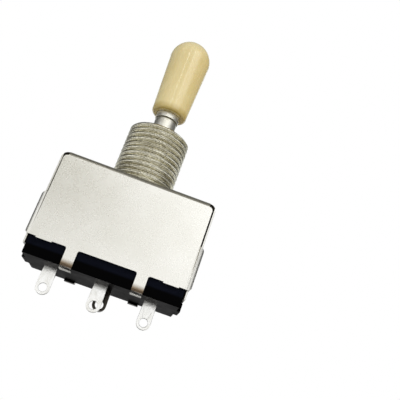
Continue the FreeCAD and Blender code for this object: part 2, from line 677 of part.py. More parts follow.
def make_base():
    """The moulded base: a deep tray with ledges, contact floor, terminal slots and end stops."""
    body = new_body("base")
    section = new_sketch(body, "YZ_Plane")
    outline(section, [
        ("-base_depth/2", "-base_top"),
        ("-base_depth/2", "-(base_bottom - base_edge)"),
        ("-(base_depth/2 - base_edge)", "-base_bottom", "base_edge", 1),
        ("base_depth/2 - base_edge", "-base_bottom"),
        ("base_depth/2", "-(base_bottom - base_edge)", "base_edge", 1),
        ("base_depth/2", "-base_top"),
    ])
    swept(body, "Pad", section, "base_width", symmetric=True)

    stops = new_sketch(body, "XY_Plane", "-base_bottom")
    rectangle(stops, "-ear_width/2", "ear_width/2", "-ear_span/2", "ear_span/2")
    swept(body, "Pad", stops, "base_bottom - flap_length - ear_gap")

    room = new_sketch(body, "XY_Plane", "-base_top")
    side = "(base_depth/2 - side_wall)"
    rectangle(room, "-wall_end", "wall_end", "-" + side, side)
    swept(body, "Pocket", room, "ledge_depth - base_top")

    trench = new_sketch(body, "XY_Plane", "-ledge_depth")
    rectangle(trench, "-wall_end", "wall_end", "-ledge_gap/2", "ledge_gap/2")
    swept(body, "Pocket", trench, "floor_depth - ledge_depth")

    recesses = new_sketch(body, "XY_Plane", "-floor_depth")
    slots = new_sketch(body, "XY_Plane", "-floor_depth")
    for name, (middle, row_place, _, _) in TERMINALS.items():
        outline(recesses, foot_outline(name, "seat_fit"))
        across = "(root_width/2 + seat_fit)"
        along = "(lug_gauge/2 + seat_fit)"
        rectangle(slots, "%s - %s" % (middle, across), "%s + %s" % (middle, across),
                  "%s - %s" % (row_place, along), "%s + %s" % (row_place, along))
    swept(body, "Pocket", recesses, "lug_gauge + seat_fit")
    swept(body, "Pocket", slots)

    sockets = new_sketch(body, "XY_Plane", "-(spring_end_depth - seat_fit)")
    grip = "(rack_gauge/2 + seat_fit)"
    deep = "(wall_end + spring_bite + seat_fit)"
    for row_place in ("-rack_row", "rack_row"):
        low, high = "%s - %s" % (row_place, grip), "%s + %s" % (row_place, grip)
        rectangle(sockets, "-" + deep, "-wall_end", low, high)
        rectangle(sockets, "wall_end", deep, low, high)
    swept(body, "Pocket", sockets, "spring_gauge + 2*seat_fit")
    return body


def make_slider():
    """The nylon slider: flanges on the ledges, a keel, notched racks and a tower for the tail."""
    body = new_body("slider")
    flange = new_sketch(body, "XY_Plane", "-flange_bottom")
    reach = "(base_depth/2 - side_wall - running_fit)"
    rectangle(flange, "-slider_width/2", "slider_width/2", "-" + reach, reach)
    swept(body, "Pad", flange, "slider_flange")

    keel = new_sketch(body, "XY_Plane", "-keel_depth")
    half_keel = "(ledge_gap/2 - running_fit)"
    rectangle(keel, "-slider_width/2", "slider_width/2", "-" + half_keel, half_keel)
    swept(body, "Pad", keel, "keel_depth - flange_bottom")

    tower = new_sketch(body, "XY_Plane", "-flange_top")
    outline(tower, rounded_rectangle("tower_width/2", "tower_span/2", "tower_round"))
    swept(body, "Pad", tower, "flange_top - tower_top")

    slot = new_sketch(body, "XY_Plane", "-tower_top")
    across, along = "(tail_width/2 + running_fit)", "(tail_width/2 + 2*running_fit)"
    rectangle(slot, "-" + across, across, "-" + along, along)
    swept(body, "Pocket", slot, "slot_floor - tower_top")

    rack = new_sketch(body, "XZ_Plane", "rack_row")
    teeth = [("-rack_width/2", "-flange_top"), ("rack_width/2", "-flange_top"), ("rack_width/2", "-rack_top")]
    for middle in ("travel", "0", "-travel"):
        teeth.append(("%s + notch_depth" % middle, "-rack_top"))
        teeth.append((middle, "-(rack_top + notch_depth)"))
        teeth.append(("%s - notch_depth" % middle, "-rack_top"))
    teeth.append(("-rack_width/2", "-rack_top"))
    outline(rack, teeth)
    mirrored(body, [swept(body, "Pad", rack, "rack_gauge", symmetric=True)], "XZ_Plane")

    tongues = new_sketch(body, "XY_Plane", "-keel_depth")
    heads = new_sketch(body, "XY_Plane", "-(keel_depth + wiper_gauge + 2*seat_fit)")
    for side in (-1, 1):
        rectangle(tongues, *tongue_limits(side, "0"))
        rectangle(heads, *tongue_limits(side, "tongue_lap"))
    swept(body, "Pad", tongues, "wiper_gauge + 2*seat_fit", backwards=True)
    swept(body, "Pad", heads, "tongue_head_gauge", backwards=True)
    return body


def tongue_limits(side, grow):
    """A wiper's tongue seen from above, made larger by grow; side -1 is the front one, 1 the rear."""
    middle = "%d*(wiper_flat_out + wiper_flat_in)/2" % side
    row_place = "%d*wiper_row" % side
    along = "(tongue_length/2 + %s)" % grow
    across = "(tongue_width/2 + %s)" % grow
    return (
        "%s - %s" % (middle, along),
        "%s + %s" % (middle, along),
        "%s - %s" % (row_place, across),
        "%s + %s" % (row_place, across),
    )


def make_wiper(name, side):
    """A bent contact strip under the slider that joins a common contact to an outer one."""
    body = new_body(name)
    strip = new_sketch(body, "XZ_Plane", "%d*wiper_row" % -side)
    foot = "floor_depth - running_fit"
    flat = "keel_depth + seat_fit"
    toe_rise = "wiper_toe*tan(30deg)"
    corner = "wiper_gauge*tan(22.5deg)"
    slant = "wiper_gauge*sqrt(2)"
    profile = [
        ("-(wiper_far_foot + wiper_toe)", "-(%s - %s)" % (foot, toe_rise)),
        ("-wiper_far_foot", "-(%s)" % foot),
        ("-wiper_flat_out", "-(%s + wiper_gauge)" % flat),
        ("-wiper_flat_in", "-(%s + wiper_gauge)" % flat),
        ("wiper_near_foot", "-(%s)" % foot),
        ("wiper_near_foot + wiper_toe", "-(%s - %s)" % (foot, toe_rise)),
        ("wiper_near_foot + wiper_toe", "-(%s - %s - wiper_gauge)" % (foot, toe_rise)),
        ("wiper_near_foot", "-(%s - %s)" % (foot, slant)),
        ("-(wiper_flat_in - %s)" % corner, "-(%s)" % flat),
        ("-(wiper_flat_out + %s)" % corner, "-(%s)" % flat),
        ("-wiper_far_foot", "-(%s - %s)" % (foot, slant)),
        ("-(wiper_far_foot + wiper_toe)", "-(%s - %s - wiper_gauge)" % (foot, toe_rise)),
    ]
    outline(strip, profile if side < 0 else flipped(profile))
    swept(body, "Pad", strip, "wiper_width", symmetric=True)
    hole = new_sketch(body, "XY_Plane")
    rectangle(hole, *tongue_limits(side, "seat_fit"))
    swept(body, "Pocket", hole, symmetric=True)
    return body


def make_detent_spring(name, row_place):
    """A leaf spring between the end walls, whose nose rests in the rack's middle notch."""
    body = new_body(name)
    leaf = new_sketch(body, "XZ_Plane", "-(%s)" % row_place)
    far_end = "-(wall_end + spring_bite)"
    knee_depth = "nose_depth - spring_knee"
    left = [
        ("0", "-(nose_depth - spring_gauge*sqrt(2))"),
        ("-(spring_knee - spring_gauge*tan(22.5deg))", "-(%s - spring_gauge)" % knee_depth),
        ("-arm_start", "-spring_end_depth"),
        (far_end, "-spring_end_depth"),
        (far_end, "-(spring_end_depth + spring_gauge)"),
        ("-arm_start", "-(spring_end_depth + spring_gauge)"),
        ("-spring_knee", "-(%s)" % knee_depth),
    ]
    right = [("-(%s)" % across, up) for across, up in reversed(left[1:])]
    outline(leaf, left + [("0", "-nose_depth")] + right)
    swept(body, "Pad", leaf, "rack_gauge", symmetric=True)
    return body


pieces = [
    make_case(),
    make_insulating_board(),
    make_bushing(),
    make_ball_retainer(),
    make_base(),
]
pieces += [make_terminal(name) for name in TERMINALS]
pieces += [
    make_slider(),
    make_wiper("wiper_front", -1),
    make_wiper("wiper_rear", 1),
    make_detent_spring("detent_spring_front", "-rack_row"),
    make_detent_spring("detent_spring_rear", "rack_row"),
    make_lever(),
    make_pivot_pin(),
    make_tip(),
]
doc.recompute()

for item in doc.Objects:
    if "Invalid" in item.State or "Error" in item.State:
        raise RuntimeError("%s can't be built with these sizes" % item.Name)
    if item.TypeId == "PartDesign::Pocket" and item.Shape.Volume >= item.BaseFeature.Shape.Volume:
        raise RuntimeError("%s removes nothing" % item.Name)
for piece in pieces:
    if piece.Shape.isNull() or not piece.Shape.isValid() or len(piece.Shape.Solids) != 1:
        raise RuntimeError("%s isn't one sound solid" % piece.Label)

os.makedirs("parts", exist_ok=True)
for piece in pieces:
    piece.Shape.exportStep("parts/%s.step" % piece.Label)
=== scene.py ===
import json
import math

import bmesh
import bpy
from mathutils import Matrix, Vector


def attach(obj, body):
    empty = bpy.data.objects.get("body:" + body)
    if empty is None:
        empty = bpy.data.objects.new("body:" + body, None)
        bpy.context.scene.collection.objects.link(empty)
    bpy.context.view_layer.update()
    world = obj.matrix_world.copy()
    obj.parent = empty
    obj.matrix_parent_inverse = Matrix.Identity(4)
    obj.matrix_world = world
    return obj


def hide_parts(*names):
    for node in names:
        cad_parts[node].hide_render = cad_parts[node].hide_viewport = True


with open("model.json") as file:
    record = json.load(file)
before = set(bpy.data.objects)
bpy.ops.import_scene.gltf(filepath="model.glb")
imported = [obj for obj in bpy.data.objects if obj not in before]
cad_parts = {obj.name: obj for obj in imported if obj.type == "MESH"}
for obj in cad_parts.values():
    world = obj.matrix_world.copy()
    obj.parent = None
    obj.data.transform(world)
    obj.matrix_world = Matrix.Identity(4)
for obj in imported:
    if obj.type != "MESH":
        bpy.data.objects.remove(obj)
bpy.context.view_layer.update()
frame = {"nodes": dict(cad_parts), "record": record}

MM = 0.001

# The camera, as found from the photograph. Angles in degrees, places in millimetres.
CAMERA_PLACE = (7.15, -104.9, -35.31)
CAMERA_TURN = 3.203
CAMERA_RISE = 19.129
CAMERA_ROLL = 19.142
LENS = 51.98
SENSOR = 36.0
SHIFT = (-0.0129, 0.0208)
NEAR_AND_FAR = (5.0, 20000.0)

# The bushing, in millimetres. A pair is a radius and a height.
THREAD_CREST = 6.0
THREAD_ROOT = 5.40
THREAD_PITCH = 1.0
THREAD_TOP = 11.7
THREAD_LEAD = 0.4
ROOT_FLAT = 0.10
CREST_FLAT = 0.32
CREST_SEAM = 0.08
CREST_ROUND = 0.03
MOUTH = 4.2
MOUTH_FLOOR = 8.2
THROAT = (2.6, 6.196)
SEAT = (3.25, 5.546)
RIM = (5.1, -1.0)
SPIGOT = (4.73, -0.4)
STEPS_AROUND = 144

# The turns worked out beyond each end of the thread, which on_thread then flattens away.
TURNS_BEYOND = 2

# The slot for the cross pin: half its width and half its length, then its lower and upper end.
PIN_SLOT = (0.65, 4.0)
SLOT_ENDS = (-2.0, 4.85)

# The mouth's rounded lip: how far each point lies outside the bore, and below the top.
MOUTH_LIP = [(0.15, 0.0), (0.04, 0.05), (0.0, 0.16)]

# A worn flank: parts of its width, and the share of the thread's depth reached there.
FLANK_RISE = [(0.2, 0.22), (0.38, 0.50), (0.62, 0.57), (0.82, 0.90)]

# A worn crest: parts of its width, and how far it lies below the full diameter there.
CREST_DROP = [
    (0.0, CREST_ROUND),
    (0.2, 0.0),
    (0.38, 0.0),
    (0.5, CREST_SEAM),
    (0.62, 0.0),
    (0.8, 0.0),
    (1.0, CREST_ROUND),
]

# The tip, in millimetres. A pair is a radius and a height.
FOOT_BOTTOM = 16.6
FOOT_RADIUS = 3.55
FOOT_ROUND = 0.6
FOOT_STEPS = 12
TAPER_STEPS = 16
DOME_CENTRE = 30.05
DOME_RADIUS = 4.174
DOME_START = -0.6
DOME_STEPS = 34
CUP = (2.4, 17.25)
STUD_HOLE = (1.52, 27.05)

# The lever, in millimetres. A pair is a radius and a height.
PIVOT = 4.2
BALL = 3.2
BALL_STEPS = 30
PIN_BORE = 0.62
BORE_LENGTH = 8.0
BORE_SIDES = 48
TAIL = 1.5
TAIL_BAND = (-8.3, -7.7)
WAIST = (1.1, -5.4)
SHANK = 1.7
NECK = (2.2, 9.6)
NECK_STEPS = 10
GROOVE = 2.08
GROOVE_EDGES = (15.25, 15.45)
COLLAR = (2.35, 17.2)
STUD = (1.5, 27.0)

# How far the turned pieces' edges are broken, in millimetres.
BREAK = 0.06
NECK_BREAK = 0.04
GROOVE_BREAK = 0.03
COLLAR_BREAK = 0.05

# How far the CAD nodes' edges are broken, in millimetres, and from which angle in degrees.
EDGE_WIDTHS = {"sheet_metal": 0.09, "base_plastic": 0.10, "contact_metal": 0.11}
SHARP_ANGLE = 40.0

# How near two vertices are to count as one, in millimetres: in a new mesh, and in a CAD node.
SAME_POINT = 0.0001
WELD_REACH = 0.001

# Where the finishes change, and where painted shade, reflections and highlight lie in them, in millimetres
# from and to.
TAB_FOLD = (-20.1, -17.9)
TAB_HOOK = (-19.7, -19.2)
HOOK_SIDE = (0.0, 2.0)
FLAP_FACE = (14.1, 14.6)
FLAP_EDGE = (7.0, 6.8)
GROOVE_SHADE = (15.1, 15.6)
TIP_SIDE = (0.6, 4.0)
TIP_DOME = (27.0, 34.0)
TIP_FOOT = (16.7, 18.2)
BASE_SKIRT = (-18.2, -17.6)
LUG_SHADE = (-24.3, -23.5)
REAR_ROW = (0.5, 1.5)

# The room, in millimetres.
FLOOR_HEIGHT = -62.0
FLOOR_RADIUS = 260.0
FLOOR_SIDES = 96
FLOOR_FADE = (0.45 * FLOOR_RADIUS, 0.98 * FLOOR_RADIUS)
WORLD_LIGHT = 0.52
LIGHT_TARGET = (0.0, 0.0, 5.0)


def linear(*srgb):
    """A colour given as 0 to 255 screen values, as the linear values a shader takes."""
    out = []
    for value in srgb:
        value /= 255.0
        out.append(value / 12.92 if value <= 0.04045 else ((value + 0.055) / 1.055) ** 2.4)
    return tuple(out) + (1.0,)


def grey(value):
    """A grey given as the linear value a shader takes."""
    return (value, value, value, 1.0)


WHITE = grey(1.0)

# The cards that the metal mirrors: name, direction as (azimuth, elevation) in degrees, distance and
# size in millimetres, colour. Azimuth 0 is straight in front, and 180 behind.
CARDS = [
    ("card_above", (180.0, 78.0), 300.0, (700.0, 420.0), grey(0.34)),
    ("card_back", (180.0, 34.0), 300.0, (540.0, 210.0), (0.92, 0.97, 1.0, 1.0)),
    ("card_back_far_left", (-117.0, 36.0), 300.0, (300.0, 220.0), grey(0.10)),
    ("card_back_far_right", (117.0, 36.0), 300.0, (300.0, 220.0), grey(0.10)),
    ("card_back_left", (-123.0, 8.0), 290.0, (246.0, 100.0), grey(0.06)),
    ("card_back_right", (123.0, 8.0), 290.0, (246.0, 100.0), grey(0.06)),
    ("card_front_left", (-17.0, 17.0), 300.0, (110.0, 70.0), (0.40, 0.385, 0.325, 1.0)),
    ("card_high_left", (-52.0, 38.0), 295.0, (190.0, 180.0), grey(0.55)),
    ("card_high_right", (33.0, 38.0), 295.0, (200.0, 180.0), grey(0.50)),
    ("card_left", (-72.0, 36.0), 300.0, (220.0, 220.0), grey(0.10)),
    ("card_right", (72.0, 36.0), 300.0, (280.0, 220.0), grey(0.10)),
    ("card_front_high", (-3.0, 48.0), 285.0, (300.0, 190.0), grey(0.18)),
    ("card_right_level", (42.0, 9.0), 300.0, (180.0, 66.0), grey(0.36)),
    ("card_right_side", (94.0, 8.0), 300.0, (150.0, 112.0), grey(0.28)),
    ("card_left_side", (-98.0, 8.0), 300.0, (150.0, 112.0), grey(0.28)),
    ("card_front_low", (0.0, -34.0), 200.0, (420.0, 190.0), linear(70, 60, 50)),
    ("card_back_low", (180.0, -27.0), 100.0, (210.0, 50.0), grey(0.30)),
    ("card_below", (0.0, -88.0), 60.0, (70.0, 60.0), grey(0.02)),
    ("streak_left", (-14.0, 40.0), 290.0, (13.0, 163.0), grey(7.0)),
    ("streak_right", (14.0, 40.0), 290.0, (20.0, 163.0), grey(3.0)),
]


class Finish:
    """A procedural material: one Principled shader and the nodes that feed it."""

    def __init__(self, name, **settings):
        self.material = bpy.data.materials.new(name)
        self.material.use_nodes = True
        self.tree = self.material.node_tree
        self.shader = self.tree.nodes["Principled BSDF"]
        for socket, value in settings.items():
            self.shader.inputs[socket.replace("_", " ")].default_value = value
        self.place = self.add("ShaderNodeTexCoord").outputs["Object"]

    def add(self, kind, **settings):
        """A new node with its settings."""
        node = self.tree.nodes.new(kind)
        for key, value in settings.items():
            setattr(node, key, value)
        return node

    def join(self, source, target):
        """Links an output to an input."""
        self.tree.links.new(source, target)

    def stretched(self, scale):
        """Object coordinates in millimetres, scaled along each axis."""
        mapping = self.add("ShaderNodeMapping")
        mapping.inputs["Scale"].default_value = tuple(value / MM for value in scale)
        self.join(self.place, mapping.inputs["Vector"])
        return mapping.outputs["Vector"]

    def noise(self, scale, detail=4.0, roughness=0.55, distortion=0.0):
        """A noise whose features are about 1/scale millimetres across along each axis."""
        node = self.add("ShaderNodeTexNoise")
        node.inputs["Scale"].default_value = 1.0
        node.inputs["Detail"].default_value = detail
        node.inputs["Roughness"].default_value = roughness
        node.inputs["Distortion"].default_value = distortion
        self.join(self.stretched(scale), node.inputs["Vector"])
        return node.outputs["Fac"]

    def ramp(self, source, stops):
        """Maps a value to colours or greys; stops are (position, colour)."""
        node = self.add("ShaderNodeValToRGB")
        elements = node.color_ramp.elements
        while len(elements) < len(stops):
            elements.new(0.5)
        for element, (position, colour) in zip(elements, stops):
            element.position = position
            element.color = colour
        self.join(source, node.inputs["Fac"])
        return node.outputs["Color"]

    def span(self, source, low, high, out_low, out_high):
        """Maps a value from one range to another."""
        node = self.add("ShaderNodeMapRange")
        node.inputs["From Min"].default_value = low
        node.inputs["From Max"].default_value = high
        node.inputs["To Min"].default_value = out_low
        node.inputs["To Max"].default_value = out_high
        self.join(source, node.inputs["Value"])
        return node.outputs["Result"]

    def tinted(self, colour, tint, amount=1.0):
        """A colour multiplied by a tint, in full or by an amount, which may be a number or an output."""
        node = self.add("ShaderNodeMix", data_type="RGBA", blend_type="MULTIPLY")
        if isinstance(amount, float):
            node.inputs[0].default_value = amount
        else:
            self.join(amount, node.inputs[0])
        self.join(colour, node.inputs[6])
        self.join(tint, node.inputs[7])
        return node.outputs[2]

    def ranged(self, vector, axis, low, high, both_sides):
        """One part of a vector as 0 to 1 between two values; both_sides takes it without its sign."""
        split = self.add("ShaderNodeSeparateXYZ")
        self.join(vector, split.inputs[0])
        value = split.outputs[axis]
        if both_sides:
            size = self.add("ShaderNodeMath", operation="ABSOLUTE")
            self.join(value, size.inputs[0])
            value = size.outputs[0]
        return self.span(value, low, high, 0.0, 1.0)

    def along(self, axis, low, high, both_sides=False):
        """A value that rises from 0 to 1 between two places on an axis, in millimetres."""
        return self.ranged(self.stretched((1.0, 1.0, 1.0)), axis, low, high, both_sides)

    def facing(self, axis, low, high, both_sides=False):
        """A value that rises from 0 to 1 as the surface turns to face along an axis."""
        normal = self.add("ShaderNodeNewGeometry").outputs["Normal"]
        return self.ranged(normal, axis, low, high, both_sides)

    def product(self, first, second):
        """One value times another."""
        node = self.add("ShaderNodeMath", operation="MULTIPLY")
        self.join(first, node.inputs[0])
        self.join(second, node.inputs[1])
        return node.outputs[0]

    def painted_crevice_shade(self, reach, stops):
        """Painted shade where other surfaces stand close, within a reach in millimetres."""
        node = self.add("ShaderNodeAmbientOcclusion", samples=8)
        node.inputs["Distance"].default_value = reach * MM
        return self.ramp(node.outputs["AO"], stops)

    def colour(self, source):
        """Sets the base colour."""
        self.join(source, self.shader.inputs["Base Color"])

    def rough(self, source):
        """Sets the roughness."""
        self.join(source, self.shader.inputs["Roughness"])

    def bump(self, *layers):
        """Surface relief; each layer is (height source, height in millimetres)."""
        normal = None
        for source, height in layers:
            node = self.add("ShaderNodeBump")
            node.inputs["Strength"].default_value = 1.0
            node.inputs["Distance"].default_value = height * MM
            self.join(source, node.inputs["Height"])
            if normal is not None:
                self.join(normal, node.inputs["Normal"])
            normal = node.outputs["Normal"]
        self.join(normal, self.shader.inputs["Normal"])


def sheet_finish():
    """Satin nickel plate with faint clouds and rolling lines; painted shade in seams, at the rear tabs'
    lowest ends and along the flaps' cut edges, and painted dark reflections on the tabs above their folds
    and on the case's upward-facing curves.
    """
    finish = Finish("satin_nickel_sheet", Metallic=1.0)
    cloud = finish.noise((0.09, 0.09, 0.09), 3.0)
    speck = finish.noise((6.0, 6.0, 6.0), 5.0, 0.7)
    lines = finish.noise((0.25, 3.0, 9.0), 4.0, 0.6)
    marks = finish.noise((0.55, 0.55, 0.55), 6.0, 0.75, distortion=1.2)
    base = finish.ramp(cloud, [(0.35, linear(240, 239, 232)), (0.68, linear(250, 249, 244))])
    tint = finish.ramp(speck, [(0.30, linear(238, 236, 228)), (0.60, WHITE)])
    clean = finish.tinted(base, tint, 0.45)
    # Painted shade in the seams, where other surfaces stand close.
    painted_seam_shade = finish.painted_crevice_shade(0.45, [(0.22, linear(70, 66, 56)), (0.62, WHITE)])
    # Painted dark brown reflection on the tabs, just above their folds.
    painted_fold_reflection = finish.ramp(
        finish.along("Z", *TAB_FOLD),
        [
            (0.10, WHITE),
            (0.24, linear(96, 80, 66)),
            (0.46, linear(150, 134, 116)),
            (0.80, WHITE),
        ],
    )
    # Painted shade on the tabs' lowest ends, on the rear side only.
    painted_hook_shade = finish.ramp(finish.along("Z", *TAB_HOOK), [(0.0, linear(92, 86, 76)), (1.0, WHITE)])
    # Painted dark reflection on the case's curves that face partly upward; flat tops and upright faces stay
    # clean.
    painted_bend_reflection = finish.ramp(
        finish.facing("Z", 0.0, 1.0),
        [
            (0.02, WHITE),
            (0.12, linear(150, 147, 138)),
            (0.75, linear(165, 162, 153)),
            (0.97, WHITE),
        ],
    )
    # Painted shade along the flaps' cut edges: a dark line next to the gap behind the panel's edge, and a
    # grey line at the outer rim.
    painted_gap_shade = finish.ramp(
        finish.along("X", *FLAP_FACE, both_sides=True),
        [
            (0.50, linear(34, 31, 27)),
            (0.60, WHITE),
            (0.86, WHITE),
            (0.97, linear(120, 115, 105)),
        ],
    )
    # The flaps' cut edges, facing along Y, which take that painted shade.
    cut_edge = finish.product(
        finish.facing("Y", 0.4, 0.9, both_sides=True), finish.along("Y", *FLAP_EDGE, both_sides=True)
    )
    # The plate with painted shade in its seams and painted dark reflections on its tabs and upward-facing
    # curves; then painted shade at the rear tabs' ends and the cut edges.
    with_painted_shade = finish.tinted(finish.tinted(finish.tinted(clean, painted_seam_shade), painted_fold_reflection), painted_bend_reflection)
    with_hook_shade = finish.tinted(with_painted_shade, painted_hook_shade, finish.along("Y", *HOOK_SIDE))
    finish.colour(finish.tinted(with_hook_shade, painted_gap_shade, cut_edge))
    finish.rough(finish.span(marks, 0.35, 0.70, 0.26, 0.30))
    finish.bump((lines, 0.0022), (speck, 0.0028))
    return finish.material


def bushing_finish():
    """Nickel plate on a cut thread: grey, with tool lines, a rough speckle and darker patches."""
    finish = Finish("nickel_on_thread", Metallic=1.0)
    cloud = finish.noise((0.35, 0.35, 0.35), 3.0)
    speck = finish.noise((4.0, 4.0, 5.0), 5.0, 0.75)
    lines = finish.noise((0.10, 0.10, 4.6), 3.0, 0.6)
    base = finish.ramp(cloud, [(0.33, linear(236, 233, 218)), (0.66, linear(250, 248, 237))])
    tint = finish.ramp(speck, [(0.40, linear(150, 142, 118)), (0.52, linear(255, 255, 250))])
    worn = finish.tinted(base, tint, 0.75)
    grime_and_groove_shade = finish.ramp(lines, [(0.38, linear(204, 199, 182)), (0.52, WHITE)])
    finish.colour(finish.tinted(worn, grime_and_groove_shade, 0.7))
    finish.rough(finish.span(speck, 0.3, 0.7, 0.20, 0.30))
    finish.bump((lines, 0.026), (speck, 0.015))
    return finish.material


def turned_finish():
    """Bright turned metal with fine lines left by the lathe, and painted shade in the groove."""
    finish = Finish("bright_turned_metal", Metallic=1.0)
    lines = finish.noise((0.05, 0.05, 14.0), 3.0, 0.6)
    speck = finish.noise((3.0, 3.0, 3.0), 5.0, 0.75)
    cloud = finish.noise((0.5, 0.5, 0.5), 3.0)
    clean = finish.ramp(cloud, [(0.35, linear(222, 219, 205)), (0.65, linear(242, 240, 230))])
    # Painted shade in the groove under the collar.
    grime_and_groove_shade = finish.ramp(
        finish.along("Z", *GROOVE_SHADE),
        [
            (0.18, WHITE),
            (0.34, linear(150, 146, 130)),
            (0.66, linear(150, 146, 130)),
            (0.82, WHITE),
        ],
    )
    finish.colour(finish.tinted(clean, grime_and_groove_shade))
    finish.rough(finish.span(lines, 0.3, 0.7, 0.30, 0.42))
    finish.bump((lines, 0.006), (speck, 0.012))
    return finish.material


def tip_finish():
    """Glossy cream plastic, a little translucent, with soft lengthwise clouding; painted warm shade on its
    +X side and at its foot, and a faint painted highlight on its dome.
    """
    finish = Finish(
        "cream_plastic",
        Metallic=0.0,
        Subsurface_Weight=0.12,
        Subsurface_Scale=0.0012,
        Coat_Weight=0.6,
        Coat_Roughness=0.05,
    )
    finish.shader.inputs["Subsurface Radius"].default_value = (1.0, 0.7, 0.35)
    clouds = finish.noise((0.10, 0.10, 0.05), 3.0, 0.5)
    grain = finish.noise((0.9, 0.9, 0.25), 3.0)
    base = finish.ramp(
        clouds,
        [(0.32, linear(228, 211, 156)), (0.50, linear(234, 220, 170)), (0.70, linear(238, 226, 181))],
    )
    tint = finish.ramp(grain, [(0.35, linear(250, 247, 238)), (0.62, WHITE)])
    clean = finish.tinted(base, tint, 0.5)
    # Painted warm shade on the tip's +X side.
    painted_side_shade = finish.ramp(finish.along("X", *TIP_SIDE), [(0.0, WHITE), (1.0, linear(253, 244, 221))])
    # A faint painted highlight: the tip lighter towards the top of its dome.
    pale = finish.ramp(finish.along("Z", *TIP_DOME), [(0.0, linear(252, 250, 245)), (1.0, WHITE)])
    # Painted shade at the tip's foot.
    painted_foot_shade = finish.ramp(finish.along("Z", *TIP_FOOT), [(0.0, linear(200, 188, 134)), (1.0, WHITE)])
    finish.colour(finish.tinted(finish.tinted(finish.tinted(clean, painted_side_shade), pale), painted_foot_shade))
    finish.rough(finish.span(grain, 0.3, 0.7, 0.24, 0.30))
    finish.bump((clouds, 0.0015))
    return finish.material


def base_finish():
    """Glossy black moulding with a faint flow pattern, with painted shade darkening its skirt."""
    finish = Finish("black_moulding", Metallic=0.0, Specular_IOR_Level=0.02)
    flow = finish.noise((0.25, 0.25, 0.6), 4.0, 0.6, distortion=0.8)
    grain = finish.noise((9.0, 9.0, 9.0), 3.0)
    clean = finish.ramp(flow, [(0.3, linear(6, 8, 15)), (0.7, linear(12, 14, 24))])
    # Painted shade: the base darker below its top band, in its skirt.
    skirt = finish.ramp(finish.along("Z", *BASE_SKIRT), [(0.2, linear(96, 84, 70)), (0.8, WHITE)])
    finish.colour(finish.tinted(clean, skirt))
    finish.rough(finish.span(flow, 0.3, 0.7, 0.30, 0.45))
    finish.bump((flow, 0.012), (grain, 0.0018))
    return finish.material


def contact_finish():
    """Tinned strip with pooled tin, drawn lines down the lugs, and painted shade in seams and on the rear
    lug's front.
    """
    finish = Finish("tinned_contact", Metallic=1.0)
    pools = finish.noise((0.8, 0.8, 0.5), 4.0, 0.6, distortion=0.5)
    lines = finish.noise((8.0, 8.0, 0.6), 3.0)
    clean = finish.ramp(pools, [(0.32, linear(244, 243, 237)), (0.62, linear(255, 255, 253))])
    # Painted shade in the seams and holes, where other surfaces stand close.
    painted_seam_shade = finish.painted_crevice_shade(0.5, [(0.22, linear(58, 55, 48)), (0.60, WHITE)])
    # Painted shade on the rear lug's front face, all but its lower end.
    painted_lug_shade = finish.ramp(finish.along("Z", *LUG_SHADE), [(0.0, WHITE), (1.0, linear(64, 61, 56))])
    rear_front = finish.product(finish.along("Y", *REAR_ROW), finish.facing("Y", -0.4, -0.9))
    finish.colour(finish.tinted(finish.tinted(clean, painted_lug_shade, rear_front), painted_seam_shade))
    finish.rough(finish.span(pools, 0.3, 0.7, 0.28, 0.18))
    finish.bump((pools, 0.02), (lines, 0.003))
    return finish.material


def board_finish():
    """Brown fibre laminate with short fibres."""
    finish = Finish("fibre_laminate", Metallic=0.0)
    fibre = finish.noise((3.0, 0.6, 3.0), 5.0, 0.7)
    finish.colour(finish.ramp(fibre, [(0.3, linear(66, 47, 33)), (0.7, linear(104, 76, 52))]))
    finish.rough(finish.span(fibre, 0.3, 0.7, 0.55, 0.8))
    finish.bump((fibre, 0.01))
    return finish.material


def spring_finish():
    """Cold rolled spring strip with lines along its length."""
    finish = Finish("spring_strip", Metallic=1.0)
    lines = finish.noise((0.4, 12.0, 1.0), 4.0)
    finish.colour(finish.ramp(lines, [(0.3, linear(190, 176, 146)), (0.7, linear(216, 204, 176))]))
    finish.rough(finish.span(lines, 0.3, 0.7, 0.2, 0.36))
    finish.bump((lines, 0.002))
    return finish.material


def nylon_finish():
    """Natural nylon: waxy off-white."""
    finish = Finish("natural_nylon", Metallic=0.0, Subsurface_Weight=0.2, Subsurface_Scale=0.001)
    cloud = finish.noise((0.5, 0.5, 0.5), 4.0)
    finish.colour(finish.ramp(cloud, [(0.3, linear(216, 211, 194)), (0.7, linear(232, 229, 216))]))
    finish.rough(finish.span(cloud, 0.3, 0.7, 0.38, 0.5))
    finish.bump((cloud, 0.006))
    return finish.material


def placed(name, data):
    """A new object in the scene."""
    thing = bpy.data.objects.new(name, data)
    bpy.context.scene.collection.objects.link(thing)
    return thing


def finished(name, mesh, smooth_below):
    """Closes up a bmesh, shades it smooth up to an angle, and makes it an object."""
    bmesh.ops.remove_doubles(mesh, verts=mesh.verts, dist=SAME_POINT * MM)
    bmesh.ops.dissolve_degenerate(mesh, edges=mesh.edges, dist=SAME_POINT * MM)
    bmesh.ops.recalc_face_normals(mesh, faces=mesh.faces)
    data = bpy.data.meshes.new(name)
    mesh.to_mesh(data)
    mesh.free()
    data.shade_smooth()
    data.set_sharp_from_angle(angle=math.radians(smooth_below))
    return placed(name, data)


def turned(spot, step):
    """A place at one of the steps around a turned shape; spot is (radius, height)."""
    radius, height = spot
    angle = 2 * math.pi * step / STEPS_AROUND
    return Vector((radius * math.cos(angle), radius * math.sin(angle), height)) * MM


def ring(mesh, spot):
    """One ring of vertices; spot is (radius, height)."""
    return [mesh.verts.new(turned(spot, step)) for step in range(STEPS_AROUND)]


